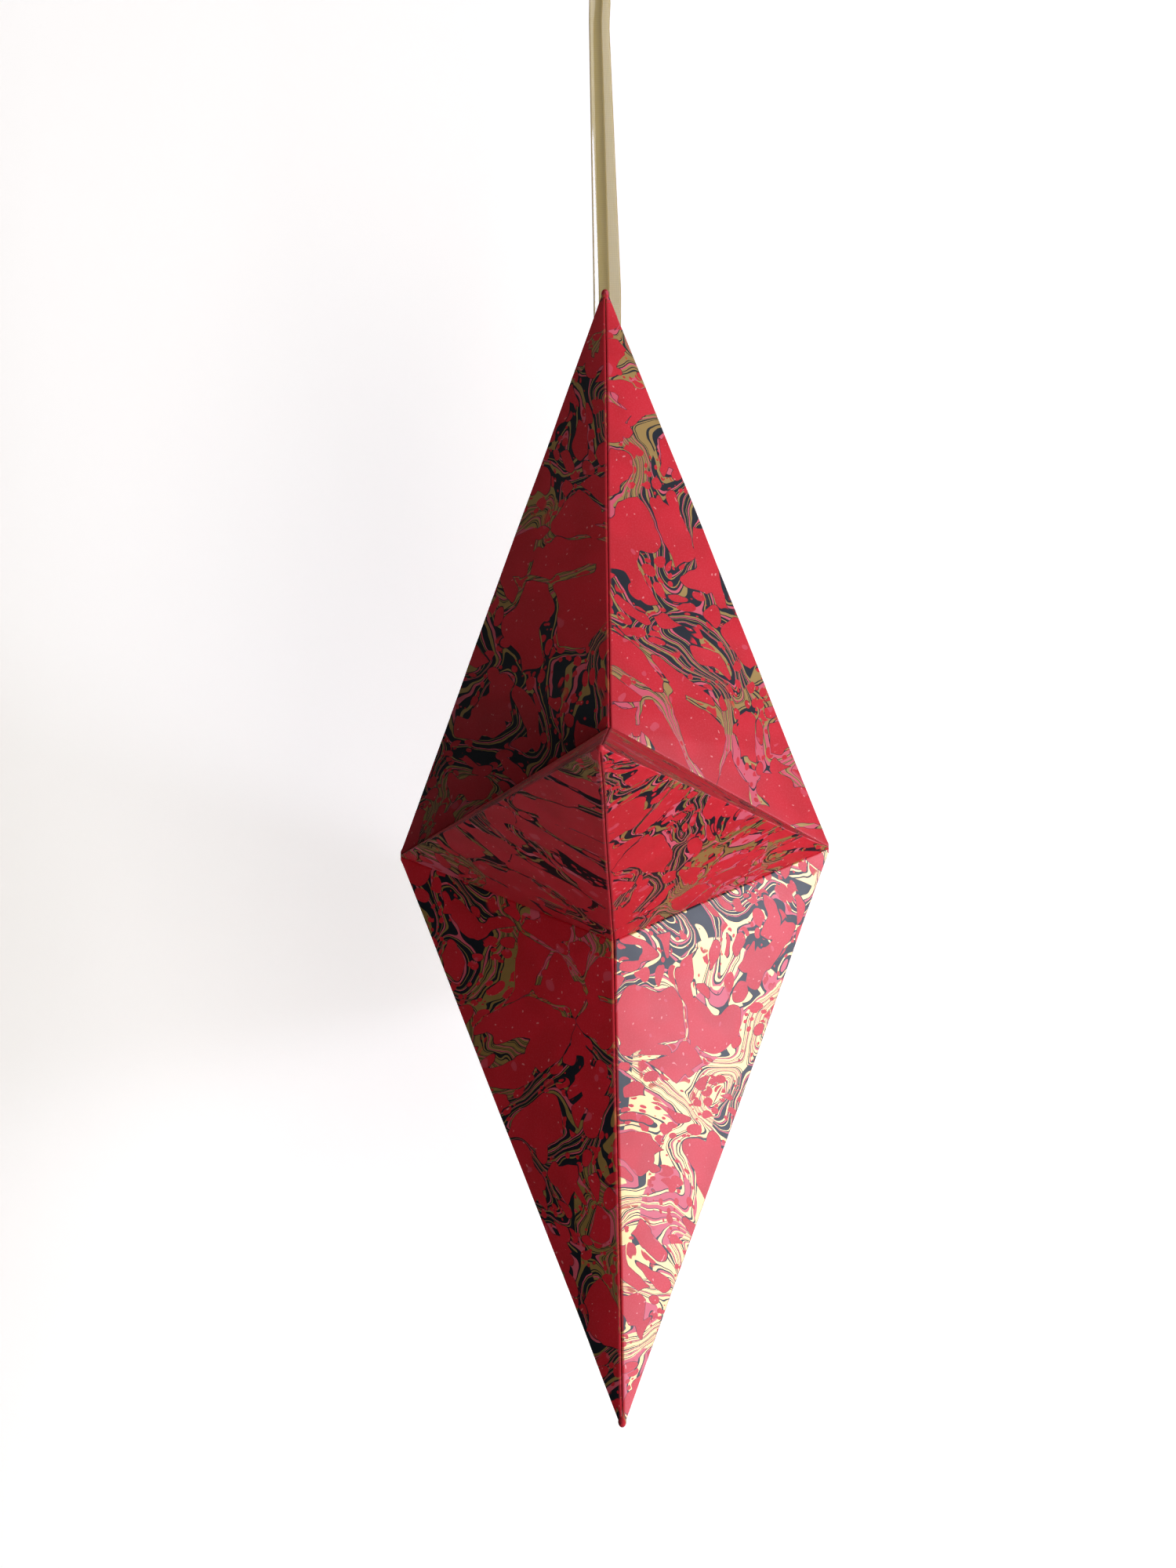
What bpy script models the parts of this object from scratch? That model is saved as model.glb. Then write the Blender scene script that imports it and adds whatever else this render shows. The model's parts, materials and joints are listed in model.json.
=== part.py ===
"""Star ornament of marbled paper over scored board, hung on a sheer ribbon loop.

Metres, +Z up. The origin is the inner top of the ribbon loop, where a hook carries it.
The four arms point up, down, to the front (-Y) and to the back (+Y), and the two
peaks point left (-X) and right (+X). Each arm has a left and a right kite. A kite is
one board, folded down its spine from the arm's tip to the peak, in one wrapped cover.

Every corner of a kite is where three planes meet, so all pieces follow the sizes below.
Shapes are worked out on the upper right kite, in the star's own frame, and each object
is then turned into its arm. Left kites are mirrored.
"""

from math import acos, atan2, cos, pi, radians, sin

import bmesh
import bpy
import numpy as np
from mathutils import Matrix

for leftover in list(bpy.data.objects):
    bpy.data.objects.remove(leftover)

# Star, on the sharp lines where its faces would meet
TIP_RADIUS = 0.100
PEAK_RISE = 0.0370
NOTCH_REACH = 0.0186

# Board, paper and the clearances between pieces
BOARD_THICK = 0.0008
PAPER_THICK = 0.0002
FIT_GAP = 0.0003
SEAM_GAP = 0.0003

# Wrapped edges of a cover
EDGE_ROUND = 0.00025
EDGE_STEPS = 4
FOLD_FLAT = 0.0001
TIP_BLUNT = 0.0004
PEAK_BLUNT = 0.0005
TURN_IN = 0.008

# A board's spine opens flat along its score, and its tip is cut blunt
SCORE_CUT = 0.0003
BOARD_TIP_CUT = 0.0010

# Paper strips glued inside, over the seams and the valleys
STRIP_THICK = 0.00025
STRIP_REACH = 0.005

# Ribbon loop
HANG_LENGTH = 0.058
RIBBON_WIDTH = 0.0038
RIBBON_THICK = 0.0003
HOOK_RADIUS = 0.0018
BEND_WIDTH = 0.0028
BEND_LEG = 0.004
BEND_SKEW = 0.00045
BEND_STEPS = 10
STRAND_SPREAD = 0.0008
GATHER_LENGTH = 0.010
GATHER_WIDTH = 0.0016

# Hole pierced through the back ridge of the upper arm, and the knot behind it
HOLE_DROP = 0.022
HOLE_RADIUS = 0.0012
HOLE_LENGTH = 0.008
KNOT_RADIUS = 0.0015
KNOT_STEPS = 8
ROUND_SIDES = 16

MARBLED_RED = (0.36, 0.025, 0.035)
GREY_BOARD = (0.42, 0.38, 0.32)
BROWN_PAPER = (0.50, 0.38, 0.24)
SHEER_GOLD = (0.62, 0.53, 0.33)

# Each arm comes a quarter turn about X after the one before
ARMS = ("top", "front", "bottom", "back")
SIDES = {"left": -1, "right": 1}


def unit(vector):
    return np.array(vector, float) / np.linalg.norm(vector)


def meet(*planes):
    """The point where three planes meet, each given as a normal and a distance."""
    normals = [normal for normal, _ in planes]
    distances = [distance for _, distance in planes]
    return np.linalg.solve(normals, distances)


# Corners of the upper right kite, and the normals of its faces and side planes
TIP = np.array((0.0, 0.0, TIP_RADIUS))
NOTCH = np.array((0.0, -NOTCH_REACH, NOTCH_REACH))
PEAK = np.array((PEAK_RISE, 0.0, 0.0))
FRONT = unit(np.cross(NOTCH - TIP, PEAK - TIP))
BACK = FRONT * (1, -1, 1)
RIDGE = unit(FRONT + BACK)
SEAM = unit((-1, 0, 0))
VALLEY_FRONT = unit((0, -1, -1))
VALLEY_BACK = unit((0, 1, -1))
ARM_END = unit((0, 0, 1))
PEAK_END = unit((PEAK_RISE, 0.0, -NOTCH_REACH))

# Depths below a kite's outer face
BOARD_TOP = PAPER_THICK + FIT_GAP
BOARD_BOTTOM = BOARD_TOP + BOARD_THICK
TURN_TOP = BOARD_BOTTOM + FIT_GAP
PANEL_DEPTH = TURN_TOP + PAPER_THICK
STRIP_TOP = PANEL_DEPTH + FIT_GAP
STRIP_BOTTOM = STRIP_TOP + STRIP_THICK


def front_face(depth):
    return FRONT, FRONT @ TIP - depth


def back_face(depth):
    return BACK, BACK @ TIP - depth


def valley_front(inset):
    return VALLEY_FRONT, -inset


def upright(distance):
    """The plane at this distance right of the star's middle plane."""
    return -SEAM, distance


def kite(depth, inset, fold_cut=0.0, tip_cut=0.0, peak_cut=0.0):
    """Ten points round a kite at one depth, drawn in from its seam and its valleys."""
    seam_inset, valley_inset = inset
    front = front_face(depth)
    back = back_face(depth)
    seam = upright(seam_inset)
    low_front = valley_front(valley_inset)
    low_back = (VALLEY_BACK, -valley_inset)
    apex = meet(front, back, seam)
    fold = (RIDGE, RIDGE @ apex - fold_cut)
    tip = (ARM_END, ARM_END @ apex - tip_cut)
    peak = (PEAK_END, PEAK_END @ meet(front, back, low_front) - peak_cut)
    corners = (
        (front, seam, tip),
        (front, fold, tip),
        (back, fold, tip),
        (back, seam, tip),
        (back, seam, low_back),
        (back, low_back, peak),
        (back, fold, peak),
        (front, fold, peak),
        (front, low_front, peak),
        (front, seam, low_front),
    )
    return [meet(*planes) for planes in corners]


def loft(name, outlines, caps, side=1):
    """One closed mesh through a row of outlines, capped at both ends, mirrored for side -1."""
    mesh = bmesh.new()
    rows = [[mesh.verts.new((side * x, y, z)) for x, y, z in points] for points in outlines]
    for row, following in zip(rows, rows[1:]):
        for index in range(len(row)):
            mesh.faces.new((row[index - 1], row[index], following[index], following[index - 1]))
    for cap in caps:
        mesh.faces.new([rows[0][index] for index in cap])
        mesh.faces.new([rows[-1][index] for index in cap])
    bmesh.ops.remove_doubles(mesh, verts=mesh.verts, dist=1e-7)
    bmesh.ops.recalc_face_normals(mesh, faces=mesh.faces)
    data = bpy.data.meshes.new(name)
    mesh.to_mesh(data)
    mesh.free()
    return data


def kite_loft(name, outlines, side):
    """A kite's loft, closed at each end by its front face, flattened fold and back face."""
    return loft(name, outlines, ((0, 1, 7, 8, 9), (1, 2, 6, 7), (2, 3, 4, 5, 6)), side)


def drawn_in(spread, radius, depth):
    """How far a rounded edge lies behind its side plane at this depth."""
    return radius * (1 - cos(spread - acos(1 - depth / radius)))


def rounded_edge(gap):
    """Outlines down a cover's rounded edges, from its outer face to its side walls."""
    seam_spread = acos(SEAM @ FRONT)
    valley_spread = acos(VALLEY_FRONT @ FRONT)
    full_depth = EDGE_ROUND * (1 - cos(seam_spread))
    valley_round = full_depth / (1 - cos(valley_spread))
    outlines = []
    for step in range(EDGE_STEPS + 1):
        depth = EDGE_ROUND * (1 - cos(seam_spread * step / EDGE_STEPS))
        seam_inset = gap + drawn_in(seam_spread, EDGE_ROUND, depth)
        valley_inset = gap + drawn_in(valley_spread, valley_round, depth)
        inset = (seam_inset, valley_inset)
        outlines.append(kite(depth, inset, FOLD_FLAT, TIP_BLUNT, PEAK_BLUNT))
    return outlines


def cover_mesh(name, side):
    """The marbled skin: outer face, rounded edges, side walls and turned-in rims."""
    gap = SEAM_GAP / 2
    wall = (gap, gap)
    pocket = (gap + PAPER_THICK, gap + PAPER_THICK)
    window = (gap + TURN_IN, gap + TURN_IN)
    outlines = rounded_edge(gap)
    for depth, inset in ((PANEL_DEPTH, wall), (PANEL_DEPTH, window), (TURN_TOP, window),
                         (TURN_TOP, pocket), (PAPER_THICK, pocket)):
        outlines.append(kite(depth, inset))
    return kite_loft(name, outlines, side)


def board_mesh(name, side):
    """The scored board, which fills the cover's pocket but for the glue."""
    edge = SEAM_GAP / 2 + PAPER_THICK + FIT_GAP
    outer = kite(BOARD_TOP, (edge, edge), SCORE_CUT, BOARD_TIP_CUT, PEAK_BLUNT)
    inner = kite(BOARD_BOTTOM, (edge, edge))
    return kite_loft(name, [outer, inner], side)


def folded_strip(name, reach, fold, ends, mirror, side=1):
    """A strip folded along an edge of the star: one leg on this kite, one on its neighbour."""
    outlines = []
    for depth in (STRIP_TOP, STRIP_BOTTOM):
        face = front_face(depth)
        outer, inner = [[meet(face, plane, end) for end in ends] for plane in (reach, fold)]
        opposite = [mirror(point) for point in outer]
        outlines.append([outer[0], inner[0], opposite[0], opposite[1], inner[1], outer[1]])
    return loft(name, outlines, ((0, 1, 4, 5), (1, 2, 3, 4)), side)


def spine_side():
    """The plane that keeps a strip's leg clear of the strips beyond the spine."""
    return unit((0, -1, 0)), FIT_GAP


def seam_strip_mesh(name):
    """The strip behind the upper arm's front seam."""
    reach = upright(STRIP_REACH)
    far_end = meet(front_face(STRIP_BOTTOM), reach, spine_side())[2]
    ends = ((ARM_END, far_end), valley_front(FIT_GAP / 2))

    def across_seam(point):
        return point * (-1, 1, 1)

    return folded_strip(name, reach, upright(0.0), ends, across_seam)


def valley_strip_mesh(name, side):
    """The strip under the valley between the upper and the front arm."""
    reach = valley_front(STRIP_REACH)
    far_end = meet(front_face(STRIP_BOTTOM), reach, spine_side())[0]
    ends = (upright(far_end), upright(STRIP_REACH + FIT_GAP))

    def across_valley(point):
        return np.array((point[0], -point[2], -point[1]))

    return folded_strip(name, reach, valley_front(0.0), ends, across_valley, side)


# The hole's place on the upper arm's back ridge, and the ridge's outward normal
BACK_NOTCH = NOTCH * (1, -1, 1)
RIDGE_RUN = unit(BACK_NOTCH - TIP)
RIDGE_OUT = np.array((0.0, -RIDGE_RUN[2], RIDGE_RUN[1]))
HOLE_PLACE = TIP - RIDGE_RUN * HOLE_DROP / RIDGE_RUN[2]

# The swing axis lies just outside the ridge, where the strands end clear of it
STRAND_APART = (RIBBON_THICK + FIT_GAP) / 2
PIVOT_OUT = STRAND_APART + RIBBON_THICK / 2 + FIT_GAP
PIVOT_IN_STAR = HOLE_PLACE + RIDGE_OUT * PIVOT_OUT
STAR_CENTRE = np.array((0.0, -PIVOT_IN_STAR[1], -HANG_LENGTH - TIP_RADIUS))
PIVOT = STAR_CENTRE + PIVOT_IN_STAR
TWIST_CENTRE = np.array((0.0, 0.0, -HOOK_RADIUS - BEND_LEG))


def section(centre, outward, width):
    """Four corners of the ribbon's cross-section, its thickness along outward."""
    half = np.array((width / 2, 0.0, 0.0))
    skin = outward * RIBBON_THICK / 2
    return [centre - half - skin, centre + half - skin, centre + half + skin, centre - half + skin]


def bend_mesh(name):
    """The top of the loop: half a turn over the hook, with a short straight leg each side."""
    radius = HOOK_RADIUS + RIBBON_THICK / 2
    sections = []
    for step in range(BEND_STEPS + 1):
        turn = pi * step / BEND_STEPS
        outward = np.array((0.0, -cos(turn), sin(turn)))
        centre = radius * outward + (-BEND_SKEW * cos(turn), 0.0, -HOOK_RADIUS)
        sections.append(section(centre, outward, BEND_WIDTH))
    leg = (0.0, 0.0, -BEND_LEG)
    sections.insert(0, [corner + leg for corner in sections[0]])
    sections.append([corner + leg for corner in sections[-1]])
    return loft(name, sections, ((0, 1, 2, 3),))


def strand_mesh(name, side):
    """One flat strand, from the bend down to where both are gathered at the hole."""
    top = TWIST_CENTRE + (side * BEND_SKEW, side * (HOOK_RADIUS + RIBBON_THICK / 2), -FIT_GAP)
    end = PIVOT + (0.0, side * STRAND_APART, 0.0)
    gather = end + (top - end) * GATHER_LENGTH / (top[2] - end[2])
    gather[0] = side * STRAND_SPREAD
    outward = np.array((0.0, 1.0, 0.0))
    stations = ((top, BEND_WIDTH), (gather, RIBBON_WIDTH), (end, GATHER_WIDTH))
    sections = [section(centre, outward, width) for centre, width in stations]
    return loft(name, sections, ((0, 1, 2, 3),))


def knot_mesh(name):
    """The knotted ribbon ends, turned about the hole's axis: the neck, then the knot."""
    neck = HOLE_RADIUS - FIT_GAP
    centre = -(PANEL_DEPTH + FIT_GAP + KNOT_RADIUS) / (RIDGE_OUT @ BACK)
    start = acos(neck / KNOT_RADIUS)
    mesh = bmesh.new()
    profile = [mesh.verts.new((0.0, 0.0, 0.0)), mesh.verts.new((neck, 0.0, 0.0))]
    for step in range(KNOT_STEPS + 1):
        turn = start - (start + pi / 2) * step / KNOT_STEPS
        across = KNOT_RADIUS * cos(turn) if step < KNOT_STEPS else 0.0
        profile.append(mesh.verts.new((across, centre + KNOT_RADIUS * sin(turn), 0.0)))
    edges = [mesh.edges.new(pair) for pair in zip(profile, profile[1:])]
    bmesh.ops.spin(mesh, geom=profile + edges, axis=(0, 1, 0), angle=2 * pi, steps=ROUND_SIDES)
    bmesh.ops.remove_doubles(mesh, verts=mesh.verts, dist=1e-7)
    bmesh.ops.recalc_face_normals(mesh, faces=mesh.faces)
    data = bpy.data.meshes.new(name)
    mesh.to_mesh(data)
    mesh.free()
    data.shade_smooth()
    data.set_sharp_from_angle(angle=radians(40))
    return data


def hole_mesh(name):
    """The punch for the hole, along Y and right through the ridge."""
    mesh = bmesh.new()
    along_y = Matrix.Rotation(pi / 2, 4, "X")
    bmesh.ops.create_cone(mesh, cap_ends=True, segments=ROUND_SIDES, radius1=HOLE_RADIUS,
                          radius2=HOLE_RADIUS, depth=HOLE_LENGTH, matrix=along_y)
    data = bpy.data.meshes.new(name)
    mesh.to_mesh(data)
    mesh.free()
    return data


def add(name, data, parent, place, rotation=Matrix()):
    """An object at a world place, carried by its parent empty."""
    thing = bpy.data.objects.new(name, data)
    bpy.context.scene.collection.objects.link(thing)
    thing.parent = parent
    thing.rotation_euler = rotation.to_euler()
    thing.location = np.array(place) - (parent.matrix_world.translation if parent else (0, 0, 0))
    bpy.context.view_layer.update()
    return thing


def paint(thing, colour, roughness):
    finish = bpy.data.materials.new(thing.name)
    finish.use_nodes = True
    shader = finish.node_tree.nodes["Principled BSDF"]
    shader.inputs["Base Color"].default_value = (*colour, 1.0)
    shader.inputs["Roughness"].default_value = roughness
    shader.inputs["Metallic"].default_value = 0.0
    thing.data.materials.append(finish)


def pierce(thing, punch):
    cut = thing.modifiers.new("ribbon hole", "BOOLEAN")
    cut.operation = "DIFFERENCE"
    cut.solver = "EXACT"
    cut.object = punch


def add_ribbon(twist, swing):
    """The bend, the two strands that twist below it, and the knot inside the star."""
    paint(add("ribbon_bend", bend_mesh("ribbon_bend"), None, (0, 0, 0)), SHEER_GOLD, 0.5)
    for name, side in SIDES.items():
        strand = strand_mesh(f"ribbon_strand_{name}", side)
        paint(add(strand.name, strand, twist, (0, 0, 0)), SHEER_GOLD, 0.5)
    hole = STAR_CENTRE + HOLE_PLACE
    lean = Matrix.Rotation(atan2(RIDGE_OUT[2], RIDGE_OUT[1]), 4, "X")
    paint(add("ribbon_knot", knot_mesh("ribbon_knot"), swing, hole, lean), SHEER_GOLD, 0.5)
    punch = add("hole_punch", hole_mesh("hole_punch"), swing, hole, lean)
    punch.hide_render = True
    punch.display_type = "WIRE"
    return punch


def add_panel(arm, side_name, turn, swing, punch):
    """One kite: its folded board and its wrapped cover."""
    side = SIDES[side_name]
    cover = cover_mesh(f"cover_{arm}_{side_name}", side)
    board = board_mesh(f"board_{arm}_{side_name}", side)
    for data, colour, roughness in ((cover, MARBLED_RED, 0.35), (board, GREY_BOARD, 0.9)):
        thing = add(data.name, data, swing, STAR_CENTRE, turn)
        paint(thing, colour, roughness)
        if arm == "top":
            pierce(thing, punch)


def add_strips(arm, before, after, turn, swing):
    """The strips behind an arm's two seams, and under its valleys with the next arm."""
    half_turn = Matrix.Rotation(pi, 4, "Z")
    for neighbour, placing in ((after, turn), (before, turn @ half_turn)):
        strip = seam_strip_mesh(f"seam_strip_{arm}_by_{neighbour}")
        paint(add(strip.name, strip, swing, STAR_CENTRE, placing), BROWN_PAPER, 0.9)
    for name, side in SIDES.items():
        strip = valley_strip_mesh(f"valley_strip_{arm}_{after}_{name}", side)
        paint(add(strip.name, strip, swing, STAR_CENTRE, turn), BROWN_PAPER, 0.9)


twist_axis = add("twist_axis", None, None, TWIST_CENTRE)
swing_axis = add("swing_axis", None, twist_axis, PIVOT)
hole_punch = add_ribbon(twist_axis, swing_axis)
for count, arm_name in enumerate(ARMS):
    arm_turn = Matrix.Rotation(count * pi / 2, 4, "X")
    for panel_side in SIDES:
        add_panel(arm_name, panel_side, arm_turn, swing_axis, hole_punch)
    add_strips(arm_name, ARMS[count - 1], ARMS[(count + 1) % len(ARMS)], arm_turn, swing_axis)
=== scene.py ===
# %% [markdown]
# # A hanging star of marbled paper
# The real star is made of eight folded boards, each wrapped in marbled paper, and it hangs
# on a loop of sheer ribbon. The packed CAD model gives the places of all its pieces. This
# lesson dresses that model: it models the paper, the ribbon and the knot finely, and mixes
# their finishes from shader nodes.

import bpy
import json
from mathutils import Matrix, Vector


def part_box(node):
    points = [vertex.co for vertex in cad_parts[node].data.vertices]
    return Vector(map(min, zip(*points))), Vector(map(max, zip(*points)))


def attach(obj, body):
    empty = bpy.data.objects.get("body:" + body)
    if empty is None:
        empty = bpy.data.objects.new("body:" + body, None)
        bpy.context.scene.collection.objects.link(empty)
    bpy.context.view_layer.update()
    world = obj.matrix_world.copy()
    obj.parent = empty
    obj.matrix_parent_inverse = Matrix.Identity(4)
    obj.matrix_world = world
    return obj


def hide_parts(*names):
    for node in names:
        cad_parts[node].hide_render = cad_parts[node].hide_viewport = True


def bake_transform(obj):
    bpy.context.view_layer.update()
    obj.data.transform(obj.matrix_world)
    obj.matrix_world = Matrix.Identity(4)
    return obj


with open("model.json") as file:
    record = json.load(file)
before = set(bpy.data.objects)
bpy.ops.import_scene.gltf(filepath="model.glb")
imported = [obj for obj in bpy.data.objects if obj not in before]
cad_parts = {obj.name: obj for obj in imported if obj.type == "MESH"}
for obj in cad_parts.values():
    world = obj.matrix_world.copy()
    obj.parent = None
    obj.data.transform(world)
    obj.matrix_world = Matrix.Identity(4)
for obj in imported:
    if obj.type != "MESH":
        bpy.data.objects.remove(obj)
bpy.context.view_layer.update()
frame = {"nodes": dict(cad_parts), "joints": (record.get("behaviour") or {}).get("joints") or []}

# %% Modules
import json
from math import cos, pi, radians, sin, sqrt

import bmesh
import bpy
import numpy as np
from mathutils import Matrix, Vector

# %% [markdown]
# The star's middle is found from the frame: it lies halfway between the lowest and the
# highest corner of the eight covers. The swing joint gives the place where the ribbon
# goes into the star.

# %% Places in the frame
ARMS = ("top", "front", "bottom", "back")
SIDES = {"left": -1, "right": 1}
covers = [f"cover_{arm}_{side}" for arm in ARMS for side in SIDES]
corners = np.array([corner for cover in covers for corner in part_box(cover)])
star_centre = Vector((corners.min(0) + corners.max(0)) / 2)
joints = {joint["name"]: joint for joint in frame["joints"]}
swing = Vector(joints["star_swing"]["pos_m"])
twist = Vector(joints["ribbon_twist"]["pos_m"])
print("star's middle:", tuple(round(x * 1000, 2) for x in star_centre), "mm")

# %% [markdown]
# The photograph is taken from about ten degrees below the star and one degree to its
# right. The camera's place and turn come from fitting seven corners of the star; the
# place is counted in metres from the star's middle. A long lens keeps the upright edges
# nearly parallel, as they are in the picture.

# %% Camera
LENS_PIXELS = 12000
IMAGE_HEIGHT = 2000
SENSOR_MM = 36
FITTED_AHEAD = Vector((-0.02314, 0.98386, 0.17742))
FITTED_UP = Vector((0.01892, -0.17700, 0.98403))
FITTED_PLACE = Vector((0.03311, -1.59087, -0.27494))
camera_data = bpy.data.cameras.new("camera")
camera = bpy.data.objects.new("camera", camera_data)
bpy.context.scene.collection.objects.link(camera)
camera_data.sensor_width = SENSOR_MM
camera_data.lens = SENSOR_MM * LENS_PIXELS / IMAGE_HEIGHT
ahead = FITTED_AHEAD.normalized()
right = ahead.cross(FITTED_UP).normalized()
camera.matrix_world = Matrix((right, right.cross(ahead), -ahead)).transposed().to_4x4()
camera.location = star_centre + FITTED_PLACE
camera_data.clip_start, camera_data.clip_end = 0.05, 20
bpy.context.scene.camera = camera
print("lens:", camera_data.lens, "mm")

# %% [markdown]
# The ribbon is one length of narrow organza, doubled over a hook. It could be a curve
# with a flat profile, but its width changes: it is gathered at the hook and at the hole,
# and spreads between them. So it is a grid, laid out station by station. Each station
# has a place, the direction that is outward there, and a line across as long as the
# ribbon is wide there (the chord). The two strands lie a little askew, as in the
# photograph: for six heights the table gives, in millimetres, how far to the right each
# strand lies, and its chord.

# %% Stations of the ribbon
RIBBON_WIDTH = 0.0039
HOOK_RADIUS = 0.0018
HALF_STRAND = 0.00015
LOOP_RADIUS = HOOK_RADIUS + HALF_STRAND
STRAND_APART = 0.0003
STRAND_STEPS = 50
LOOP_STEPS = 12
HEIGHTS = (swing.z, swing.z + 0.005, swing.z + 0.010, -0.0580, -0.0098, twist.z)
STRANDS = {
    "left": ((0, -0.60, -0.86, -0.80, -1.15, -0.95), (1.3, 2.4, 2.8, 2.8, 2.2, 2.4)),
    "right": ((0, 0.25, 0.50, 0.62, -0.20, 0.15), (1.3, 2.8, 3.7, 3.9, 2.8, 2.6)),
}


def strand_stations(side_name, steps):
    """Place, outward and across of a strand's stations, from the hole upwards."""
    across, chords = STRANDS[side_name]
    side = SIDES[side_name]
    stations = []
    for height in np.linspace(swing.z, twist.z, steps):
        x = np.interp(height, HEIGHTS, across) / 1000
        y = side * np.interp(height, (swing.z, twist.z), (STRAND_APART, LOOP_RADIUS))
        chord = np.interp(height, HEIGHTS, chords) / 1000
        stations.append((Vector((x, y, height)), Vector((0, side, 0)), Vector((chord, 0, 0))))
    return stations


rise = strand_stations("left", STRAND_STEPS)
fall = strand_stations("right", STRAND_STEPS)[::-1]
over = []
for step in range(LOOP_STEPS + 1):
    turn = pi * step / LOOP_STEPS
    outward = Vector((0, -cos(turn), sin(turn)))
    share = step / LOOP_STEPS
    x = rise[-1][0].x + (fall[0][0].x - rise[-1][0].x) * share
    chord = rise[-1][2] + (fall[0][2] - rise[-1][2]) * share
    place = outward * LOOP_RADIUS + Vector((x, 0, -HOOK_RADIUS))
    over.append((place, outward, chord))
stations = rise + over + fall
ribbon_path = [place for place, _, _ in stations]
ribbon_length = sum((b - a).length for a, b in zip(ribbon_path, ribbon_path[1:]))
print("ribbon:", len(stations), "stations,", round(ribbon_length * 1000, 1), "mm")

# %% [markdown]
# A grid has one row of points for each station. A point's place in the grid says which
# station it belongs to and how far across the ribbon it lies, so it can be moved to its
# real place. A ribbon that is drawn narrower cups a little: how deep it could hollow
# follows from how much wider the cloth is than its chord, and the cup says how much of
# that it does. Solidify then gives the cloth its thickness. The same helper lays the
# loop here and the knot further on.

# %% Ribbon
def deselect():
    """An operator acts on all that is selected, and the frame starts out selected."""
    if bpy.context.mode != "OBJECT":
        bpy.ops.object.mode_set(mode="OBJECT")
    bpy.ops.object.select_all(action="DESELECT")


def pick(piece):
    """Selects this piece alone and makes it the active one."""
    deselect()
    bpy.context.view_layer.objects.active = piece
    piece.select_set(True)


def apply_modifier(piece, name, kind, **settings):
    """Adds one modifier with its settings and makes it part of the mesh."""
    pick(piece)
    modifier = piece.modifiers.new(name, kind)
    for setting, value in settings.items():
        setattr(modifier, setting, value)
    bpy.ops.object.modifier_apply(modifier=modifier.name)


ACROSS = 10
CLOTH_THICK = 0.00012
LOOP_CUP = 0.25


def lay_ribbon(name, stations, cup):
    """A strip of cloth through stations of place, outward and across (as long as its chord)."""
    deselect()
    bpy.ops.mesh.primitive_grid_add(x_subdivisions=ACROSS, size=1,
                                    y_subdivisions=len(stations) - 1)
    strip = bpy.context.object
    strip.name = strip.data.name = name
    for vertex in strip.data.vertices:
        row = round((vertex.co.y + 0.5) * (len(stations) - 1))
        place, outward, across = stations[row]
        share = vertex.co.x
        slack = max(RIBBON_WIDTH / across.length - 1, 0)
        hollow = cup * across.length * sqrt(slack * 3 / 8)
        vertex.co = place + across * share + outward * hollow * (4 * share**2 - 0.33)
    apply_modifier(strip, "cloth", "SOLIDIFY", thickness=CLOTH_THICK, offset=0)
    strip.data.shade_smooth()
    return strip


ribbon = lay_ribbon("ribbon", stations, LOOP_CUP)
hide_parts("ribbon_bend", "ribbon_strand_left", "ribbon_strand_right")
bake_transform(ribbon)
print("ribbon:", len(ribbon.data.polygons), "faces")

# %% [markdown]
# Every panel of the star is a kite: it is cut flat, scored down its middle and folded, so
# it runs from the arm's tip to the peak at the side. The upper right one is worked out
# here in the star's own axes, and all eight covers are copies of it. Each of its faces
# lies in a plane, given as an outward direction and a distance from the star's middle.

# %% Planes of a kite
TIP_RADIUS = 0.1000
PEAK_RISE = 0.0370
NOTCH_REACH = 0.0186
SEAM_GAP = 0.00001
PANEL_DEPTH = 0.0018
TURN_IN = 0.008
TIP_BLUNT = 0.0010
PEAK_BLUNT = 0.0003
PAPER_THICK = 0.00012
tip = Vector((0, 0, TIP_RADIUS))
peak = Vector((PEAK_RISE, 0, 0))
front_notch = Vector((0, -NOTCH_REACH, NOTCH_REACH))
FRONT = (front_notch - tip).cross(peak - tip).normalized()
BACK = Vector((FRONT.x, -FRONT.y, FRONT.z))
SEAM = Vector((-1, 0, 0))
VALLEY_FRONT = Vector((0, -1, -1)).normalized()
VALLEY_BACK = Vector((0, 1, -1)).normalized()
WALLS = ((SEAM, -SEAM_GAP), (VALLEY_FRONT, -SEAM_GAP), (VALLEY_BACK, -SEAM_GAP))


def depth_below(normal, point):
    """How far a point lies below the outer face with this normal."""
    return normal.dot(tip - point)


print("front face looks along", tuple(round(x, 3) for x in FRONT))

# %% [markdown]
# The wrapped panel could be built corner by corner. It is easier to saw it from a block,
# as a wooden one would be whittled: a cube is cut by two outer faces, by three walls
# towards the neighbours, and by two small planes that blunt its sharp ends. Each cut is
# closed again, so the block stays solid.

# %% Saw the block
WELD = 1e-7
BLOCK_SIZE = 0.3
BLOCK_PLACE = (0.1, 0, 0.1)
deselect()
bpy.ops.mesh.primitive_cube_add(size=BLOCK_SIZE, location=BLOCK_PLACE)
bpy.ops.object.transform_apply(location=True, rotation=False, scale=False)
master = bpy.context.object
master.name = "paper_master"
bpy.ops.object.mode_set(mode="EDIT")
ENDS = ((tip.normalized(), TIP_RADIUS - TIP_BLUNT), (peak.normalized(), PEAK_RISE - PEAK_BLUNT))
for normal, distance in ((FRONT, FRONT.dot(tip)), (BACK, BACK.dot(tip)), *WALLS, *ENDS):
    bpy.ops.mesh.select_all(action="SELECT")
    bpy.ops.mesh.bisect(plane_co=normal * distance, plane_no=normal, clear_outer=True,
                        use_fill=True, threshold=WELD)
bpy.ops.object.mode_set(mode="OBJECT")
print("block:", [len(master.data.vertices), len(master.data.polygons)], "corners and faces")

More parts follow.
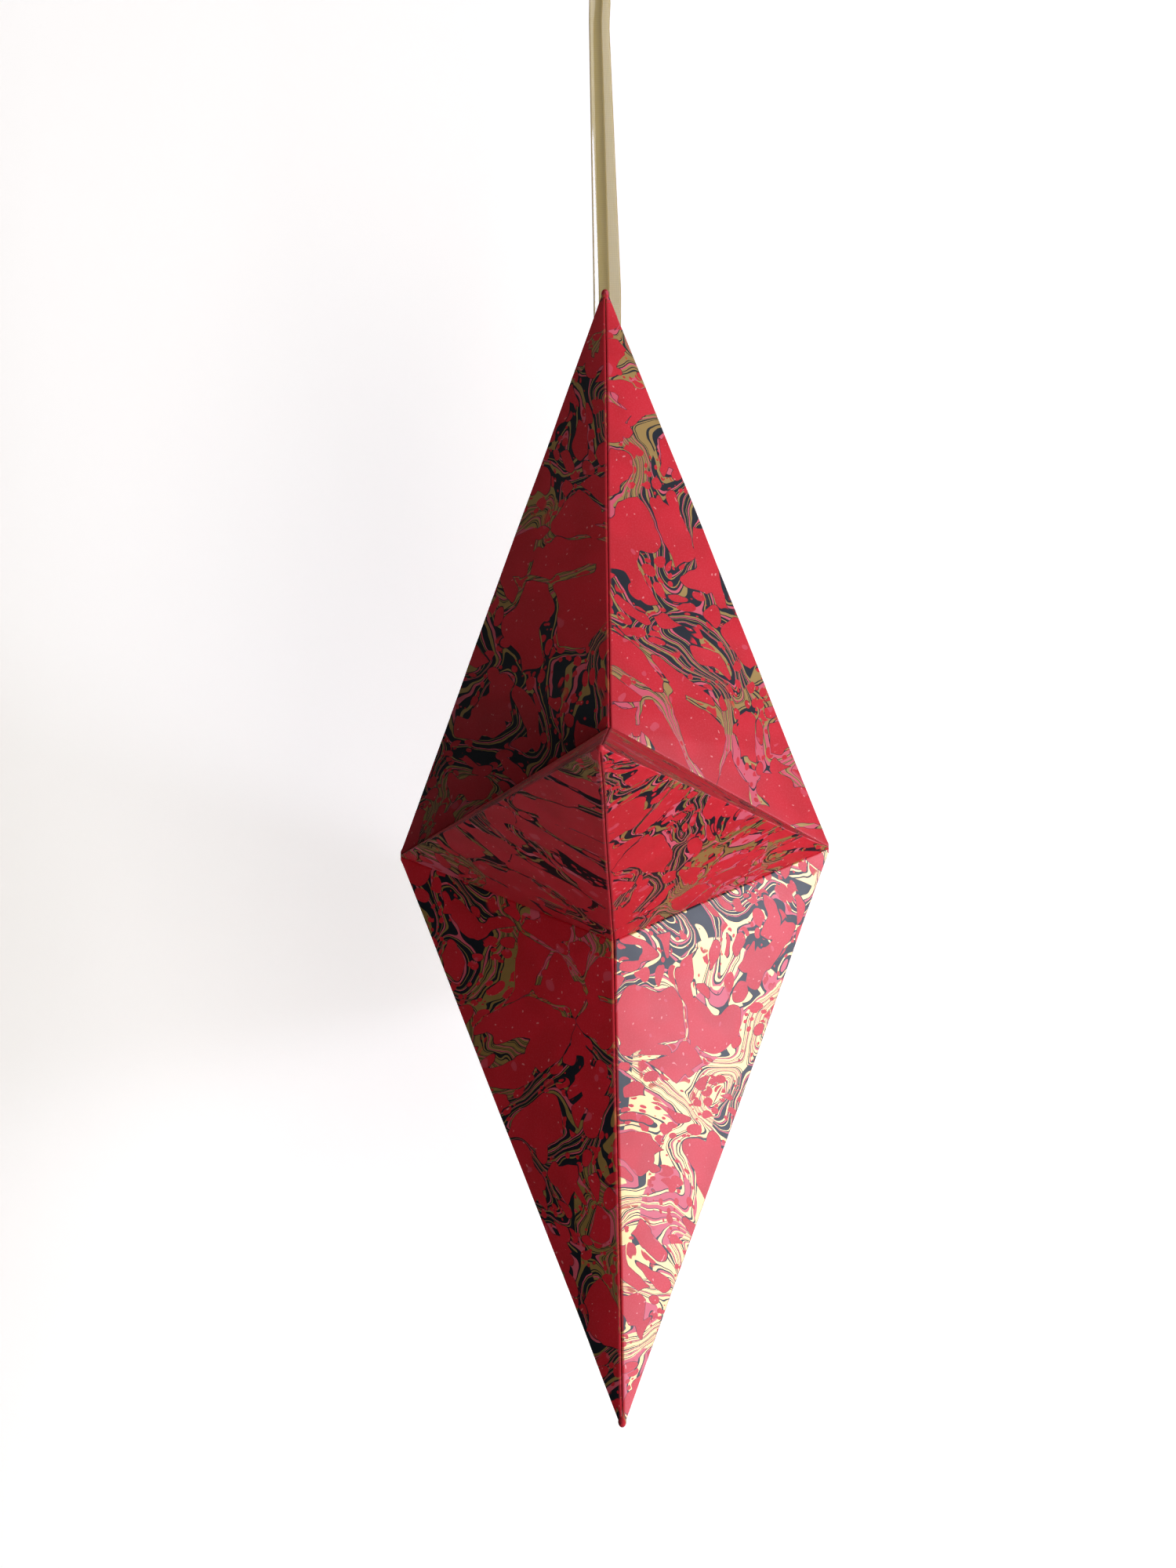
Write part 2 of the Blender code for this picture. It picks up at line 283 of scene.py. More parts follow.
# %% [markdown]
# Paper wraps the board's edge and is turned in behind it, so only a skin of the block is
# kept. The three walls are cut at the panel's depth, and what lies deeper is deleted.
# Two new faces close the panel's back. Insetting them leaves the turned-in rim round a
# window, through which the board shows from inside.

# %% Hollow the panel
SAME_WAY = 0.9


def pick_faces(piece, wanted):
    """In edit mode, selects only the faces whose centre and normal suit."""
    bpy.ops.mesh.select_mode(type="FACE")
    bpy.ops.mesh.select_all(action="DESELECT")
    mesh = bmesh.from_edit_mesh(piece.data)
    mesh.normal_update()
    for face in mesh.faces:
        face.select_set(bool(wanted(face.calc_center_median(), face.normal)))
    bmesh.update_edit_mesh(piece.data)


def is_wall(centre, normal):
    """True for a face that looks towards a neighbour."""
    return all(abs(normal.dot(outer)) < SAME_WAY for outer in (FRONT, BACK))


def is_deep(centre, normal):
    """True for a face that lies deeper than the panel, under both its outer faces."""
    return all(depth_below(outer, centre) > PANEL_DEPTH for outer in (FRONT, BACK))


bpy.ops.object.mode_set(mode="EDIT")
for outer in (FRONT, BACK):
    pick_faces(master, is_wall)
    bpy.ops.mesh.bisect(plane_co=tip - outer * PANEL_DEPTH, plane_no=outer, threshold=WELD)
pick_faces(master, is_deep)
bpy.ops.mesh.delete(type="FACE")
for side in (-1, 1):
    bpy.ops.mesh.select_mode(type="VERT")
    bpy.ops.mesh.select_all(action="DESELECT")
    mesh = bmesh.from_edit_mesh(master.data)
    for vertex in mesh.verts:
        vertex.select_set(vertex.is_boundary and vertex.co.y * side > -1e-6)
    bmesh.update_edit_mesh(master.data)
    bpy.ops.mesh.edge_face_add()
bpy.ops.mesh.select_all(action="SELECT")
bpy.ops.mesh.normals_make_consistent(inside=False)
pick_faces(master, lambda centre, normal: min(normal.dot(FRONT), normal.dot(BACK)) < -SAME_WAY)
bpy.ops.mesh.inset(thickness=TURN_IN, depth=0, use_edge_rail=True)
bpy.ops.mesh.delete(type="FACE")
bpy.ops.object.mode_set(mode="OBJECT")
print("skin:", len(master.data.polygons), "faces")

# %% [markdown]
# Hand-cut edges waver a little, so the long edges need points to move. The panel is
# scored across by level cuts, which stand closer near its two ends. Its outer edges are
# then marked for rounding: the paper turns round over the seams, and more tightly at the
# fold and in the valleys. Towards the ends there is less room, so the rounding fades.

# %% Cross cuts and marked edges
CROSS_CUTS = 18
END_CUTS = [0.0007, 0.0016, 0.0030, TIP_RADIUS - 0.0035, TIP_RADIUS - 0.0021]
EDGE_ROUND = 0.00060
SEAM_SHARE, VALLEY_SHARE, FOLD_SHARE = 1.0, 0.6, 0.35
TIP_FADE, PEAK_FADE = 0.003, 0.0025
ON_PLANE = 2e-6
levels = [TIP_RADIUS * cut / CROSS_CUTS for cut in range(1, CROSS_CUTS)] + END_CUTS
bpy.ops.object.mode_set(mode="EDIT")
for level in levels:
    bpy.ops.mesh.select_all(action="SELECT")
    bpy.ops.mesh.bisect(plane_co=(0, 0, level), plane_no=(0, 0, 1), threshold=WELD)
bpy.ops.object.mode_set(mode="OBJECT")


def edge_weight(ends):
    """How much an edge is rounded, from the faces that both its ends lie on."""
    def on(normal, distance):
        return all(abs(normal.dot(end) - distance) < ON_PLANE for end in ends)
    outer = [on(normal, normal.dot(tip)) for normal in (FRONT, BACK)]
    tip_room = min(1.0, *((TIP_RADIUS - end.z) / TIP_FADE for end in ends))
    peak_room = min(1.0, *(end.z / PEAK_FADE for end in ends))
    if all(outer):
        return FOLD_SHARE * tip_room * peak_room
    if any(outer) and on(*WALLS[0]):
        return SEAM_SHARE * tip_room
    if any(outer) and (on(*WALLS[1]) or on(*WALLS[2])):
        return VALLEY_SHARE * peak_room
    return 0.0


weights = master.data.attributes.new("bevel_weight_edge", "FLOAT", "EDGE")
for edge in master.data.edges:
    ends = [master.data.vertices[index].co for index in edge.vertices]
    weights.data[edge.index].value = edge_weight(ends)
apply_modifier(master, "wrapped edges", "BEVEL", width=EDGE_ROUND, segments=4,
               limit_method="WEIGHT", offset_type="OFFSET", use_clamp_overlap=False)
apply_modifier(master, "paper", "SOLIDIFY", thickness=PAPER_THICK, offset=-1)
print("panel:", len(master.data.polygons), "faces")

# %% [markdown]
# At the tip there is too much paper for so sharp a corner. It is folded over and pressed
# into a small round nub, half of it on each panel. Half a ball, drawn out along the arm,
# does for it: it is cut along the seam, its cut edge is rounded, and it is joined to the
# panel.

# %% Nub at the tip
NUB_RADIUS = 0.00070
NUB_DROP = 0.0018
NUB_STRETCH = (1, 0.92, 1.45)
NUB_ROUND = 0.00016
nub_place = (0, 0, TIP_RADIUS - NUB_DROP)
deselect()
bpy.ops.mesh.primitive_ico_sphere_add(subdivisions=4, radius=NUB_RADIUS, location=nub_place)
bpy.ops.object.transform_apply(location=True, rotation=False, scale=False)
nub = bpy.context.object
bpy.ops.object.mode_set(mode="EDIT")
bpy.ops.mesh.select_all(action="SELECT")
bpy.ops.transform.resize(value=NUB_STRETCH, center_override=nub_place)
bpy.ops.mesh.bisect(plane_co=(SEAM_GAP, 0, 0), plane_no=(-1, 0, 0), clear_outer=True,
                    use_fill=True, threshold=WELD)
bpy.ops.object.mode_set(mode="OBJECT")
apply_modifier(nub, "cut edge", "BEVEL", width=NUB_ROUND, segments=3, limit_method="ANGLE",
               angle_limit=radians(60))
apply_modifier(master, "nub", "BOOLEAN", operation="UNION", solver="MANIFOLD", object=nub)
bpy.data.objects.remove(nub)
print("panel with its nub:", len(master.data.polygons), "faces")

# %% [markdown]
# The marbling was made on a flat sheet, so the paper's pattern has to lie flat too. Two
# sets of coordinates are written while the piece is still in its own axes: "panel" says
# how far a point is across and along its own kite, which places the wear on the fold,
# and "sheet" says where on the big marbled sheet it was cut. The front half and the back
# half are unfolded about the spine, so the pattern runs on over the fold.

# %% Unfold the paper
spine = (peak - tip).normalized()
SPINE_LENGTH = (peak - tip).length
front_across = spine.cross(FRONT).normalized()
if front_across.y > 0:
    front_across = -front_across
back_across = Vector((front_across.x, -front_across.y, front_across.z))


def unfold(piece):
    """Writes how far across and along its kite each corner of the mesh lies, in metres."""
    panel = piece.data.uv_layers.new(name="panel")
    for face in piece.data.polygons:
        in_front = face.center.y < 0
        direction = front_across if in_front else back_across
        side = -1 if in_front else 1
        for loop in face.loop_indices:
            offset = piece.data.vertices[piece.data.loops[loop].vertex_index].co - tip
            panel.data[loop].uv = (side * offset.dot(direction), offset.dot(spine))


while master.data.uv_layers:
    master.data.uv_layers.remove(master.data.uv_layers[0])
unfold(master)
print("kite:", round(SPINE_LENGTH * 1000, 1), "mm down its spine")

# %% [markdown]
# Eight copies are turned and mirrored into place. Each was cut elsewhere on the sheet, so
# the table gives its turn in degrees and its place there in metres, and a "mood": how
# golden that part of the sheet is, and how open its veins are. A mirrored copy is inside
# out until its faces are flipped. The same slow waver is given to all of them in the
# star's shared axes, so neighbours stay as close as they were.

# %% Eight covers
CUTS = {
    "top_left": (260, 3.10, 1.70, -0.08, 0.05), "top_right": (75, 0.83, 0.64, 0.03, 0.03),
    "front_left": (200, 0.55, 0.31, -0.04, 0.02), "front_right": (290, 0.27, 0.16, -0.04, 0.02),
    "bottom_left": (215, 2.20, 2.10, -0.07, 0.07), "bottom_right": (120, 0.90, 2.20, 0.05, 0.10),
    "back_left": (250, 1.37, 0.87, 0.00, 0.02), "back_right": (110, 0.39, 1.46, 0.02, 0.03),
}
WAVER_SIZE = 0.035
WAVER_REACH = 0.0005
waver = bpy.data.textures.new("waver", "CLOUDS")
waver.noise_scale = WAVER_SIZE
waver.noise_depth = 1
waver.cloud_type = "COLOR"


def place_cover(arm, side_name):
    """One copy of the paper panel in its arm and on its side."""
    piece = master.copy()
    piece.data = master.data.copy()
    piece.name = piece.data.name = f"paper_{arm}_{side_name}"
    bpy.context.scene.collection.objects.link(piece)
    turn = Matrix.Rotation(ARMS.index(arm) * pi / 2, 4, "X")
    mirror = Matrix.Diagonal((SIDES[side_name], 1, 1, 1))
    piece.data.transform(Matrix.Translation(star_centre) @ turn @ mirror)
    if SIDES[side_name] < 0:
        piece.data.flip_normals()
    degrees, x, y, richness, openness = CUTS[f"{arm}_{side_name}"]
    c, s = cos(radians(degrees)), sin(radians(degrees))
    panel = piece.data.uv_layers["panel"]
    sheet = piece.data.uv_layers.new(name="sheet")
    mood = piece.data.uv_layers.new(name="mood")
    for loop in range(len(piece.data.loops)):
        u, v = panel.data[loop].uv
        sheet.data[loop].uv = (x + c * u - s * v, y + s * u + c * v)
        mood.data[loop].uv = (richness, openness)
    apply_modifier(piece, "waver", "DISPLACE", texture=waver, texture_coords="LOCAL",
                   direction="RGB_TO_XYZ", strength=WAVER_REACH, mid_level=0.5)
    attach(piece, "star")
    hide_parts(f"cover_{arm}_{side_name}")
    return piece


papers = {}
for arm in ARMS:
    for side_name in SIDES:
        papers[arm, side_name] = place_cover(arm, side_name)
bpy.data.objects.remove(master)
print("covers:", len(papers))

# %% [markdown]
# The ribbon goes into the star through a hole, pierced in the back ridge of the upper
# arm. A cylinder the size of the awl is subtracted from both covers there, and then
# thrown away.

# %% Pierce the hole
HOLE_DROP = 0.022
HOLE_RADIUS = 0.0012
AWL_LENGTH = 0.010
SHARP_ABOVE = radians(35)
ridge_run = (Vector((0, NOTCH_REACH, NOTCH_REACH)) - tip).normalized()
ridge_out = Vector((0, -ridge_run.z, ridge_run.y))
hole = star_centre + tip - ridge_run * HOLE_DROP / ridge_run.z
deselect()
bpy.ops.mesh.primitive_cylinder_add(vertices=24, radius=HOLE_RADIUS, depth=AWL_LENGTH,
                                    location=hole,
                                    rotation=ridge_out.to_track_quat("Z", "X").to_euler())
awl = bpy.context.object
for side_name in SIDES:
    apply_modifier(papers["top", side_name], "hole", "BOOLEAN", operation="DIFFERENCE",
                   solver="MANIFOLD", object=awl)
bpy.data.objects.remove(awl)
for piece in papers.values():
    pick(piece)
    bpy.ops.object.shade_smooth_by_angle(angle=SHARP_ABOVE)
print("hole at", tuple(round(x * 1000, 2) for x in hole), "mm")

# %% [markdown]
# Behind the hole both ends of the ribbon are tied in one overhand knot, too thick to slip
# back. The ribbon is laid along the knot's line in the same way as the loop: a gathered
# neck down through the hole, one turn of a three-lobed knot, and a short tail.

# %% Knot
KNOT_DEPTH = 0.0039
KNOT_SIZE = 0.00050
KNOT_CHORD = 0.0012
KNOT_CUP = 0.35
KNOT_START, KNOT_SWEEP = -0.5, 5.6
NECK_SHARE = 0.45
NECK_CHORD = 0.0013
TAIL_STEP = 0.00045
NECK_STEPS, TURN_STEPS, TAIL_STEPS = 10, 60, 7
rightward = Vector((1, 0, 0))
inward = -ridge_out
beside = inward.cross(rightward)
knot_middle = swing + inward * KNOT_DEPTH
knot_stations = []
for step in range(NECK_STEPS):
    place = swing + inward * KNOT_DEPTH * NECK_SHARE * step / (NECK_STEPS - 1)
    knot_stations.append((place, beside, Vector((NECK_CHORD, 0, 0))))
for step in range(TURN_STEPS + 1):
    t = KNOT_START + KNOT_SWEEP * step / TURN_STEPS
    offset = rightward * (sin(t) + 2 * sin(2 * t)) + beside * (cos(t) - 2 * cos(2 * t))
    offset = (offset - inward * sin(3 * t) * 1.2) * KNOT_SIZE
    knot_stations.append((knot_middle + offset, offset.normalized(), None))
last = knot_stations[-1][0]
for step in range(1, TAIL_STEPS + 1):
    outward = (last - knot_middle).normalized()
    place = last + (outward * 0.4 + inward) * TAIL_STEP * step
    knot_stations.append((place, outward, None))
for row in range(NECK_STEPS, len(knot_stations)):
    place, outward, across = knot_stations[row]
    ahead_row = min(row + 1, len(knot_stations) - 1)
    run = knot_stations[ahead_row][0] - knot_stations[ahead_row - 2][0]
    across = run.cross(outward).normalized() * KNOT_CHORD
    if across.dot(knot_stations[row - 1][2]) < 0:
        across = -across
    knot_stations[row] = (place, outward, across)
knot = lay_ribbon("knot", knot_stations, KNOT_CUP)
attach(knot, "star")
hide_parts("ribbon_knot")
print("knot:", len(knot.data.polygons), "faces")

# %% [markdown]
# Shader nodes are easier to read as sums. A Dye is one value in a material, and Python's
# signs between two Dyes add a Math node. Any other node comes from the method node, with
# its settings first and then the values or links of its sockets. A node's outputs go by
# number, and the less obvious numbers have names.

# %% Dyes
CAMERA_RAY, GLOSSY_RAY = 0, 3
BACKFACING = 6
OBJECT_PLACE = 3
MIXED_COLOUR = 2


class Dye:
    """A socket in a material, on which Python's signs add Math nodes."""

    def __init__(self, tree, socket=None):
        self.tree = tree
        self.socket = socket

    def node(self, kind, settings=(), sockets=(), out=0):
        """Adds a node with these settings and sockets, and gives one of its outputs."""
        made = self.tree.nodes.new(kind)
        for name, setting in dict(settings).items():
            if name == "stops":
                ramp = made.color_ramp
                while len(ramp.elements) < len(setting):
                    ramp.elements.new(1.0)
                for stop, (place, colour) in zip(ramp.elements, setting):
                    stop.position = place
                    stop.color = (*colour, 1.0)
            elif name == "steps":
                made.color_ramp.interpolation = setting
            else:
                setattr(made, name, setting)
        for name, value in dict(sockets).items():
            if isinstance(value, Dye):
                self.tree.links.new(value.socket, made.inputs[name])
            else:
                made.inputs[name].default_value = value
        return Dye(self.tree, made.outputs[out])

    def math(self, operation, *others):
        """Adds a Math node for this value and the others."""
        return self.node("ShaderNodeMath", {"operation": operation}, enumerate((self, *others)))

    def __add__(self, other):
        return self.math("ADD", other)

    def __radd__(self, other):
        return self.math("ADD", other)

    def __mul__(self, other):
        return self.math("MULTIPLY", other)

    def __rmul__(self, other):
        return self.math("MULTIPLY", other)

    def __sub__(self, other):
        return self.math("SUBTRACT", other)

    def __rsub__(self, other):
        return (self * -1) + other

    def __truediv__(self, other):
        return self.math("DIVIDE", other)

    def __abs__(self):
        return self.math("ABSOLUTE")

    def between(self, low, high):
        """0 below low and 1 above high, with a soft step between them."""
        return self.node("ShaderNodeMapRange", {"interpolation_type": "SMOOTHSTEP"},
                         {0: self, 1: low, 2: high})

    def part(self, index):
        """One of the three numbers in a vector or colour."""
        return self.node("ShaderNodeSeparateXYZ", (), {0: self}, index)

    def plus(self, other):
        """The sum of two vectors."""
        return self.node("ShaderNodeVectorMath", {"operation": "ADD"}, {0: self, 1: other})

    def times(self, size):
        """A vector, made longer."""
        return self.node("ShaderNodeVectorMath", {"operation": "SCALE"}, {0: self, "Scale": size})

    def cloud(self, size, detail=1.0, out=0):
        """Smooth random clouds of this size, as a value (0) or three values (1)."""
        return self.node("ShaderNodeTexNoise", {"noise_dimensions": "2D"},
                         {"Vector": self, "Scale": 1 / size, "Detail": detail}, out)

    def cells(self, size, feature="F1", out=0):
        """Cells of this size, each round its own random point."""
        return self.node("ShaderNodeTexVoronoi", {"voronoi_dimensions": "2D", "feature": feature},
                         {"Vector": self, "Scale": 1 / size, "Randomness": 1.0}, out)

    def blend(self, first, second):
        """The first colour where this value is 0, and the second where it is 1."""
        return self.node("ShaderNodeMix", {"data_type": "RGBA"},
                         {0: self, 6: first, 7: second}, MIXED_COLOUR)


def new_finish(name):
    """A material with its Dye to start from, and its shader."""
    finish = bpy.data.materials.new(name)
    finish.use_nodes = True
    return finish, Dye(finish.node_tree), finish.node_tree.nodes["Principled BSDF"]


def feed(shader, name, dye):
    """Links a Dye to one of the shader's inputs."""
    shader.id_data.links.new(dye.socket, shader.inputs[name])


def dress(pieces, finish):
    """Gives pieces this finish and no other."""
    for piece in pieces:
        piece.data.materials.clear()
        piece.data.materials.append(finish)


print("a Dye has", len([name for name in vars(Dye) if not name.startswith("__")]), "methods")

# %% [markdown]
# Stone marbling is made by dropping inks on a bath one after the other. The last one,
# red, spreads in round stones and squeezes the earlier inks (rose, gold and black) into
# veins between them. So the stones are cells. Each has a random number, and a vein's inks
# are stripes where that number passes smoothly from one stone's to the next one's, so
# they run along between the stones, as squeezed inks do. Before that, clouds of three
# sizes draw the whole pattern out of place, a slow current opens a river of early inks
# across the sheet, and pools widen the veins here and there. Both leave the stones
# smaller. Pebbles, a finer set of cells, fill some of the veins. Stones and pebbles have
# random radii, and a crack is half a vein's width where nothing widens it. The inks
# repeat a few times from one stone to the next and again across the current. All lengths
# are in millimetres on the sheet.

# %% Marbling inks
RED = (0.58, 0.004, 0.014)
DEEP_RED = (0.52, 0.003, 0.010)
ROSE = (0.62, 0.085, 0.120)
BLACK = (0.006, 0.009, 0.014)
GOLD = (0.46, 0.27, 0.055)
FIBRE = (0.70, 0.08, 0.11)
SPECK = (0.80, 0.32, 0.30)
DARK_INKS = [(0.00, BLACK), (0.16, GOLD), (0.20, BLACK), (0.30, ROSE), (0.38, BLACK), (0.42, GOLD),
             (0.54, BLACK), (0.80, ROSE), (0.86, BLACK), (0.90, GOLD), (0.94, BLACK)]
GOLD_INKS = [(0.00, GOLD), (0.10, BLACK), (0.14, GOLD), (0.19, BLACK), (0.22, GOLD), (0.30, ROSE),
             (0.36, BLACK), (0.40, GOLD), (0.44, BLACK), (0.47, GOLD), (0.70, BLACK), (0.74, GOLD),
             (0.80, BLACK), (0.88, GOLD), (0.92, BLACK), (0.94, ROSE)]
ROSE_INKS = [(0.00, ROSE), (0.14, BLACK), (0.17, ROSE), (0.26, GOLD), (0.36, BLACK), (0.40, GOLD),
             (0.44, ROSE), (0.72, BLACK), (0.76, GOLD), (0.84, BLACK), (0.87, ROSE)]


def opaque(colour):
    """A colour as a socket takes it, with full alpha."""
    return (*colour, 1.0)


def bands(place, stops):
    """Hard-edged bands of ink, from 0 to 1."""
    return place.node("ShaderNodeValToRGB", {"steps": "CONSTANT", "stops": stops}, {0: place})


def drift(place, size, reach):
    """A random shift in clouds of this size, by up to half the reach each way."""
    return place.cloud(size, 0.0, out=1).plus((-0.5, -0.5, -0.5)).times(reach)


STONE, PEBBLE = 11.0, 4.6
STONE_RADIUS, STONE_SPREAD = 9, 2.5
PEBBLE_LESS, PEBBLE_SPREAD = 1.0, 3.6
PEBBLE_CRACK = 0.15
CRACK, CRACK_OPEN = 0.07, 0.45
RIVER_WIDENS, POOL_WIDENS = 1.5, 2.2
RIVER_SHRINKS, POOL_SHRINKS = 3.0, 4
STRATA_TURNS, CURRENT_TURNS = 4.5, 4
GOLD_FROM, ROSE_FROM, ZONE_EDGE = 0.48, 0.63, 0.005
ELSEWHERE = (31.7, 12.3, 0)
marbled, dye, paper_shader = new_finish("marbled paper")
sheet = dye.node("ShaderNodeUVMap", {"uv_map": "sheet"}).times(1000)
slow = drift(sheet, 34, 22)
quick = drift(sheet, 9, 4.5)
fine = drift(sheet, 2.2, 0.5)
drawn = sheet.plus(slow).plus(quick).plus(fine)
mood = dye.node("ShaderNodeUVMap", {"uv_map": "mood"})
richness = mood.part(0)
openness = mood.part(1)
current = sheet.plus(slow.times(0.7)).cloud(55, 0.0)
river = 1 - abs(current.math("PINGPONG", 0.11) - 0.055).between(0.004, 0.030)
pool = (sheet.plus(quick).cloud(20, 0.0) + openness).between(0.47, 0.64)
crack = (sheet.cloud(10, 0.0) + openness).between(0.30, 0.62) * CRACK_OPEN + CRACK
stone_luck = drawn.cells(STONE, out=1).part(0)
stone_edge = drawn.cells(STONE, "DISTANCE_TO_EDGE") * STONE
stone_size = STONE_RADIUS + stone_luck * STONE_SPREAD
stone_size = stone_size - river * RIVER_SHRINKS - pool * POOL_SHRINKS
from_edge = crack + river * RIVER_WIDENS + pool * POOL_WIDENS - stone_edge
from_big = from_edge.math("SMOOTH_MAX", drawn.cells(STONE) * STONE - stone_size, 1.0)
pebbled = drawn.plus(ELSEWHERE)
pebble_luck = pebbled.cells(PEBBLE, out=1).part(0)
pebble_edge = pebbled.cells(PEBBLE, "DISTANCE_TO_EDGE") * PEBBLE
pebble_size = pebble_luck * PEBBLE_SPREAD - PEBBLE_LESS
past_pebble = pebbled.cells(PEBBLE) * PEBBLE - pebble_size
from_pebble = (crack + PEBBLE_CRACK - pebble_edge).math("SMOOTH_MAX", past_pebble, 0.5)
from_stone = from_big.math("SMOOTH_MIN", from_pebble, 0.25)
vein = from_stone.between(-0.03, 0.04)
strata = drawn.cells(STONE, "SMOOTH_F1", out=1).part(0)
phase = (strata * STRATA_TURNS + current * CURRENT_TURNS).math("FRACT")
zone = sheet.cloud(33, 0.0) + richness
is_golden = zone.between(GOLD_FROM, GOLD_FROM + ZONE_EDGE)
is_rosy = zone.between(ROSE_FROM, ROSE_FROM + ZONE_EDGE)
inks = is_golden.blend(bands(phase, DARK_INKS), bands(phase, GOLD_INKS))
inks = is_rosy.blend(inks, bands(phase, ROSE_INKS))
inks = from_stone.between(0.06, 0.11).blend(opaque(BLACK), inks)
print("marbling:", len(marbled.node_tree.nodes), "nodes so far")

# %% [markdown]
# Small red drops float in the wide pools of black and gold, and the stones themselves
# carry pale specks and a few rose dots where drops of thinner ink fell. Each is a cell
# whose heart is nearer than a random radius. The paper's fibres show through the red as
# a fine pale grain.

# %% Drops, specks and dots
def dots(place, spacing, smallest, largest, share):
    """1 inside round dots of random size, which only this share of the cells have."""
    luck = place.cells(spacing, out=1)
    radius = luck.part(0).between(1 - share, 1.0) * (largest - smallest) + smallest
    there = luck.part(0).math("GREATER_THAN", 1 - share)
    away = place.cells(spacing) * spacing
    return (radius - away).between(-0.03, 0.03) * there


drifted = sheet.plus(slow.times(0.5)).plus(quick.times(0.7))
drops = dots(drifted, 2.6, 0.4, 1.2, 0.7).math("MAXIMUM", dots(drifted, 1.2, 0.12, 0.45, 0.35))
drops = drops * from_stone.between(0.2, 0.4) * sheet.cloud(9, 0.0).between(0.34, 0.42)
scattered = sheet.plus(fine.times(3.0))
specks = dots(scattered, 1.7, 0.04, 0.18, 0.36)
rose_dots = dots(scattered, 5.5, 0.25, 0.85, 0.45)
red = sheet.cloud(8, 1.0).between(0.35, 0.65).blend(opaque(DEEP_RED), opaque(RED))
fibres = sheet.cloud(0.30, 2.0).between(0.42, 0.75) * 0.14
red = fibres.blend(red, opaque(FIBRE))
red = (rose_dots * 0.5).blend(red, opaque(ROSE))
red = (specks * 0.6).blend(red, opaque(SPECK))
colour = (vein * (1 - drops)).blend(red, inks)
red_part = colour.part(0)
green_part = colour.part(1)
golden = (green_part / (red_part + 0.001)).between(0.30, 0.40) * green_part.between(0.08, 0.14)
print("marbling:", len(marbled.node_tree.nodes), "nodes")

# %% [markdown]
# Burnished paper has a soft gloss. The gold ink is real metal powder in a binder, so it is
# partly metal, with a strong pale sheen over it. The fold down the spine is worn paler
# by handling. Along the seams the wrapped edge has lost its burnish and its gold, and a
# darker red is painted there as the shade in the groove between two covers. The sheet
# isn't quite flat on its board, which a gentle bump shows in the reflections.

# %% Marbled finish
WORN_FOLD = (0.70, 0.22, 0.25)
# Painted shade: a darker red for the groove where two covers meet at a seam.
SEAM_SHADE = (0.46, 0.006, 0.014)
GOLD_METAL, GOLD_SHEEN = 0.45, 0.6
panel = dye.node("ShaderNodeUVMap", {"uv_map": "panel"}).times(1000)
across = abs(panel.part(0))
along = panel.part(1)
patchy = sheet.cloud(3.0, 2.0)
fold_wear = (1 - across.between(0.05, 0.28)) * patchy.between(0.35, 0.75) * 0.5
corner = front_notch - tip
corner_along, corner_across = corner.dot(spine), abs(corner.dot(front_across))
from_seam = (along * corner_across - across * corner_along) * (1 / corner.length)
near_seam = 1 - from_seam.between(0.30, 0.75)
# Painted shade: a patchy darker red along the seams stands in for the shadow in the groove.
seam_shade = near_seam * patchy.between(0.10, 0.50) * 0.8
colour = fold_wear.blend(colour, opaque(WORN_FOLD))
colour = seam_shade.blend(colour, opaque(SEAM_SHADE))
golden = golden * (1 - near_seam)
feed(paper_shader, "Base Color", colour)
feed(paper_shader, "Metallic", golden * GOLD_METAL)
feed(paper_shader, "Coat Weight", golden * GOLD_SHEEN)
paper_shader.inputs["Coat IOR"].default_value = 2.0
paper_shader.inputs["Coat Roughness"].default_value = 0.4
feed(paper_shader, "Roughness", 0.44 - golden * 0.06 + patchy * 0.06 + near_seam * 0.4)
grain = sheet.cloud(0.35, 2.0) * 0.006 + sheet.cloud(16, 1.0) * 0.35
relief = dye.node("ShaderNodeBump", (), {"Height": grain, "Distance": 0.001, "Strength": 1.0})
feed(paper_shader, "Normal", relief)
dress(papers.values(), marbled)
print("marbled finish on", len(papers), "covers")

# %% [markdown]
# Organza is woven so open that light passes between its threads, and where two strands
# lie behind each other the colour doubles. Its edges are woven closer, so they are darker
# lines. Along the left strand one edge has been pulled, which leaves a gap that widens
# towards its end, beside a bunch of threads. Alpha carries all of this.

# %% Sheer finish
GOLD_THREAD = (0.57, 0.43, 0.14)
SELVEDGE = (0.42, 0.30, 0.09)
FULL_TURN = 6.3
WARPS_PER_MM, WEFTS_PER_MM = 4.0, 3.0
PULL_LENGTH, PULL_SPREAD = 0.31, 3.6
sheer, dye, cloth_shader = new_finish("sheer organza")
weave = dye.node("ShaderNodeUVMap", {"uv_map": "UVMap"})
width_mm = weave.part(0) * (RIBBON_WIDTH * 1000)
length_mm = weave.part(1) * (ribbon_length * 1000)
to_selvedge = width_mm.math("MINIMUM", RIBBON_WIDTH * 1000 - width_mm)
selvedge = 1 - to_selvedge.between(0.10, 0.22)
warp_thread = (width_mm * FULL_TURN * WARPS_PER_MM).math("SINE")
weft_thread = (length_mm * FULL_TURN * WEFTS_PER_MM).math("SINE")
threads = warp_thread * 0.05 + weft_thread * 0.03 + 0.55
ragged = weave.times(1000).cloud(3.5, 2.0) * 0.35
left_strand = 1 - weave.part(1).between(0.42, 0.46)
gap_width = (PULL_LENGTH - weave.part(1)).math("MAXIMUM", 0.0) * PULL_SPREAD
gap_end = width_mm - ragged - gap_width
pulled = (width_mm + ragged).between(0.46, 0.56) * (1 - gap_end.between(0.46, 0.58))
pulled = pulled * gap_width.between(0.0, 0.10)
bunched = (1 - width_mm.between(0.30, 0.45)) * left_strand
selvedge = selvedge.math("MAXIMUM", bunched)
alpha = threads.math("MAXIMUM", selvedge * 0.72) * (1 - pulled * 0.95)
